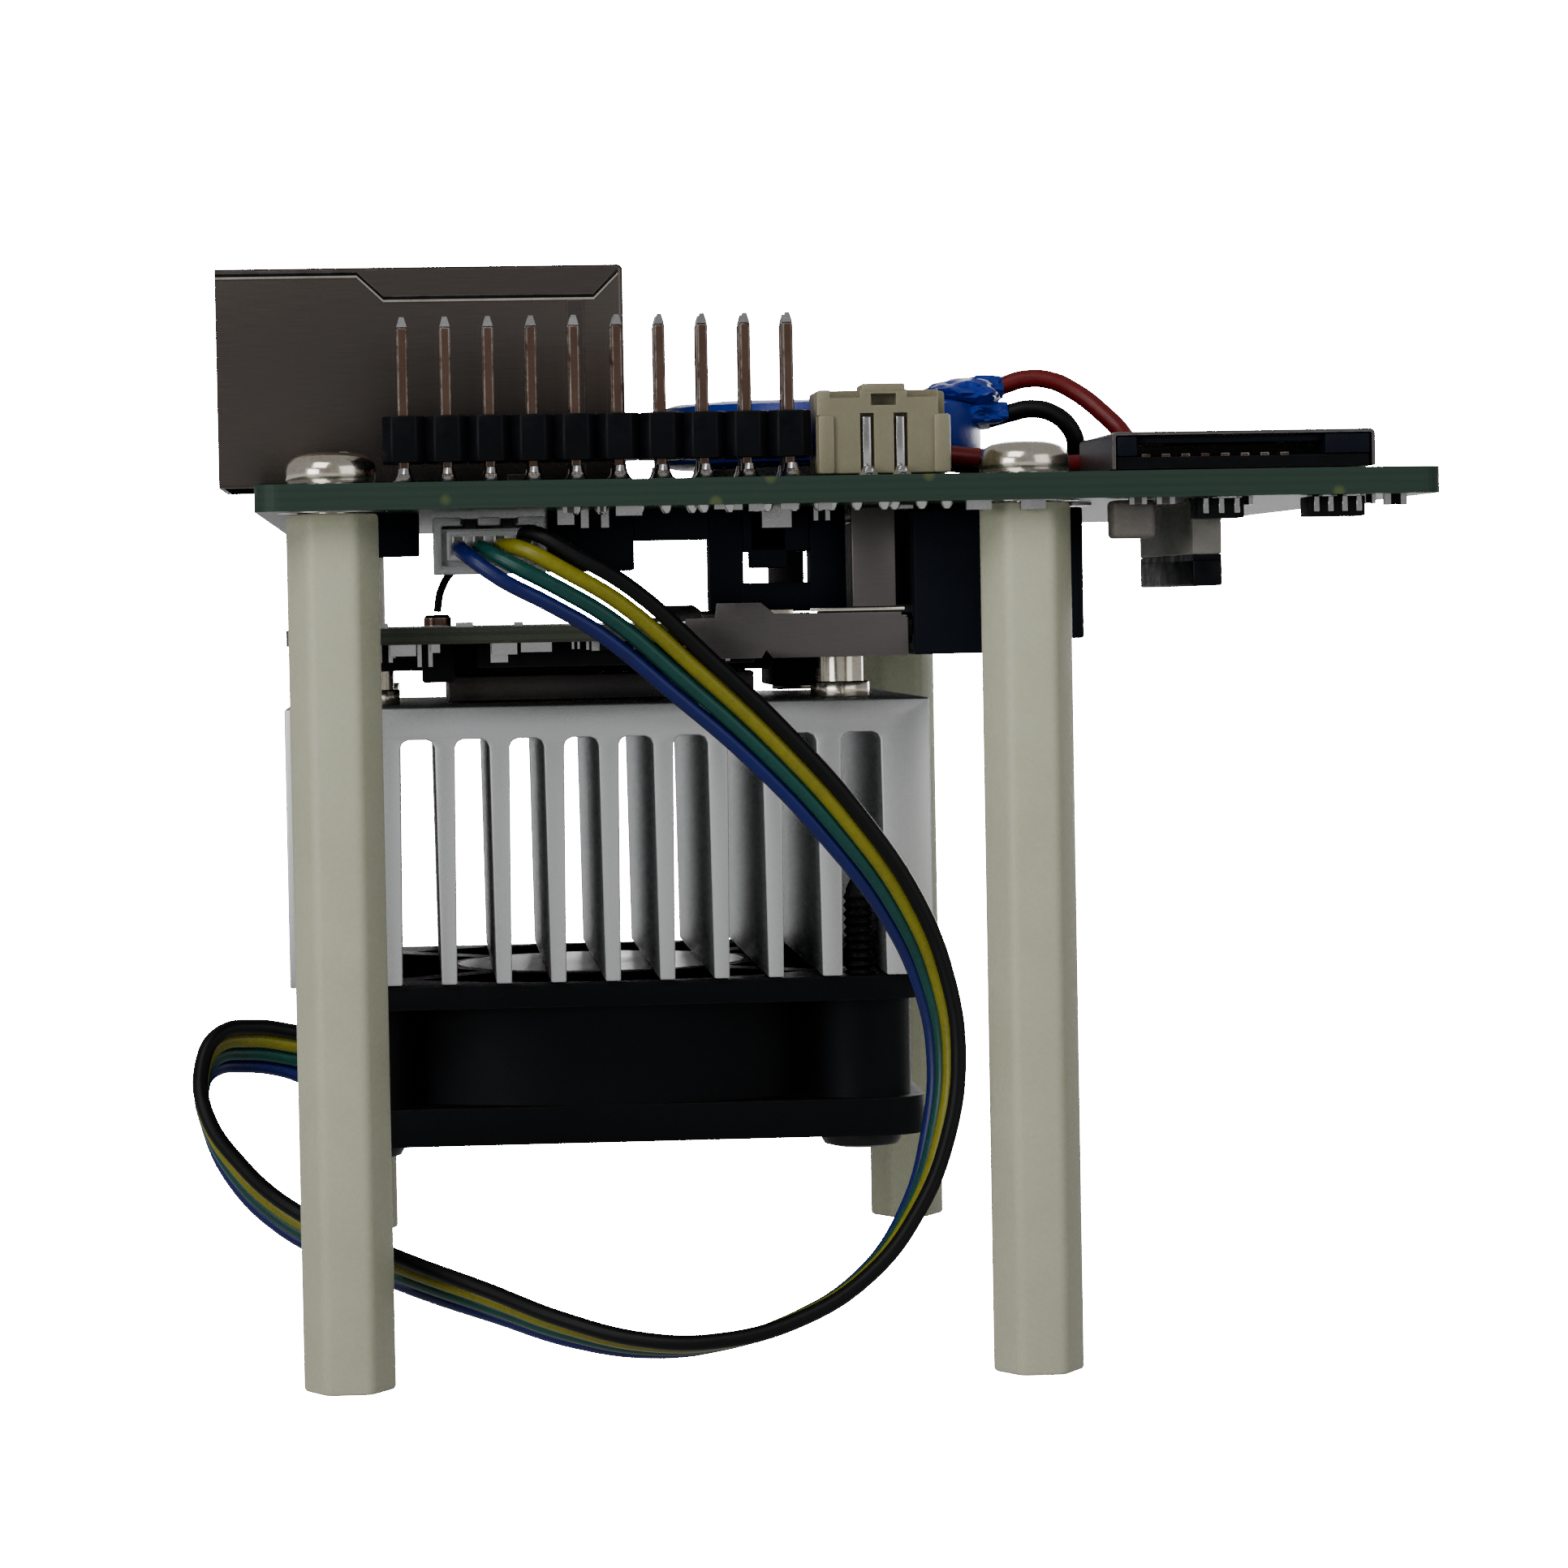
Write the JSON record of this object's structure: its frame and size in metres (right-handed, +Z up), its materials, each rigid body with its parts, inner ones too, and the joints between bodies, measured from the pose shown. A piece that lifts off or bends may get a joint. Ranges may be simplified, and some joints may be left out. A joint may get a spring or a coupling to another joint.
{
  "type": "single board computer",
  "caption": "Carrier board on four hexagonal legs, with a socketed compute module, a finned heatsink and a fan hanging under it, and connectors, a clock battery and a pin header on top.",
  "frame": {"origin": "centre of the footprint, at the bottom of the legs", "axes": "+X from the network jack's side to the card slot's side, +Y from the pin header's edge to the back, +Z up"},
  "size_m": [0.0769, 0.0902, 0.0675],
  "materials": {
    "board_green": "dark green solder mask over fibreglass, satin",
    "module_green": "olive green solder mask, satin",
    "nylon": "cream nylon, slightly see-through, satin",
    "nickel": "nickel plated, bright",
    "steel": "tinned steel sheet, dull",
    "aluminium": "plain extruded aluminium, satin",
    "black_plastic": "black moulded plastic, matt",
    "fan_black": "black moulded plastic, fine grain",
    "cream_plastic": "cream moulded plastic",
    "white_plastic": "white moulded plastic",
    "beige_plastic": "beige moulded plastic",
    "blue_sleeve": "blue shrunk sleeve, glossy",
    "foam": "white adhesive foam",
    "chip_black": "moulded chip body, matt",
    "ferrite": "grey brown ferrite",
    "gold": "gold plated",
    "wire_red": "red wire insulation, satin",
    "wire_black": "black wire insulation, satin",
    "wire_yellow": "olive yellow wire insulation, satin",
    "wire_green": "teal green wire insulation, satin",
    "wire_blue": "blue wire insulation, satin"
  },
  "bodies": {
    "computer": {"carrier_board": "board_green", "leg_front_left": "nylon", "leg_screw_front_left": "nickel", "leg_front_right": "nylon", "leg_screw_front_right": "nickel", "leg_back_left": "nylon", "leg_screw_back_left": "nickel", "leg_back_right": "nylon", "leg_screw_back_right": "nickel", "network_jack_shell": "steel", "network_jack_body": "black_plastic", "video_port_shell": "steel", "video_port_tongue": "black_plastic", "serial_port_shell": "steel", "serial_port_tongue": "white_plastic", "power_jack": "black_plastic", "pin_header": "black_plastic", "battery_socket": "cream_plastic", "battery_plug": "cream_plastic", "coin_cell": "blue_sleeve", "cell_pad": "foam", "battery_wire_red": "wire_red", "battery_wire_black": "wire_black", "card_slot_shell": "steel", "card_slot_base": "black_plastic", "hub_chip": "chip_black", "network_chip": "chip_black", "power_chip": "chip_black", "module_socket": "black_plastic", "latch_bracket_front": "steel", "latch_bracket_back": "steel", "module_board": "module_green", "processor": "chip_black", "heat_spreader": "aluminium", "memory_chip_left": "chip_black", "memory_chip_right": "chip_black", "aerial_socket": "gold", "aerial_wire": "wire_black", "heatsink": "aluminium", "spring_screw_front_left": "nickel", "fan_screw_front_left": "steel", "spring_screw_front_right": "nickel", "fan_screw_front_right": "steel", "spring_screw_back_left": "nickel", "fan_screw_back_left": "steel", "spring_screw_back_right": "nickel", "fan_screw_back_right": "steel", "fan_frame": "fan_black", "fan_socket": "white_plastic", "fan_plug": "white_plastic", "fan_lead": "wire_black", "camera_socket": "beige_plastic", "power_coil": "ferrite", "driver_chip_left": "chip_black", "driver_chip_right": "chip_black"},
    "fan_rotor": {"fan_rotor": "fan_black"},
    "camera_lock": {"camera_lock": "black_plastic"},
    "latch_front": {"latch_front": "steel"},
    "latch_back": {"latch_back": "steel"}
  },
  "joints": [
    {"name": "fan_spin", "type": "hinge", "parent": "computer", "child": "fan_rotor", "pos_m": [-0.0127, -0.0027, 0.018], "axis": [0, 0, 1], "continuous": true},
    {"name": "camera_lock_slide", "type": "slide", "parent": "computer", "child": "camera_lock", "axis": [0, 0, -1], "range_m": [0, 0.001]},
    {"name": "latch_front_bend", "type": "hinge", "parent": "computer", "child": "latch_front", "pos_m": [0.0052, -0.03583, 0.0446], "axis": [0, 0, 1], "range_deg": [0, 8], "stiffness_Nm_per_rad": 0.02},
    {"name": "latch_back_bend", "type": "hinge", "parent": "computer", "child": "latch_back", "pos_m": [0.0052, 0.03583, 0.0446], "axis": [0, 0, -1], "range_deg": [0, 8], "stiffness_Nm_per_rad": 0.02}
  ]
}
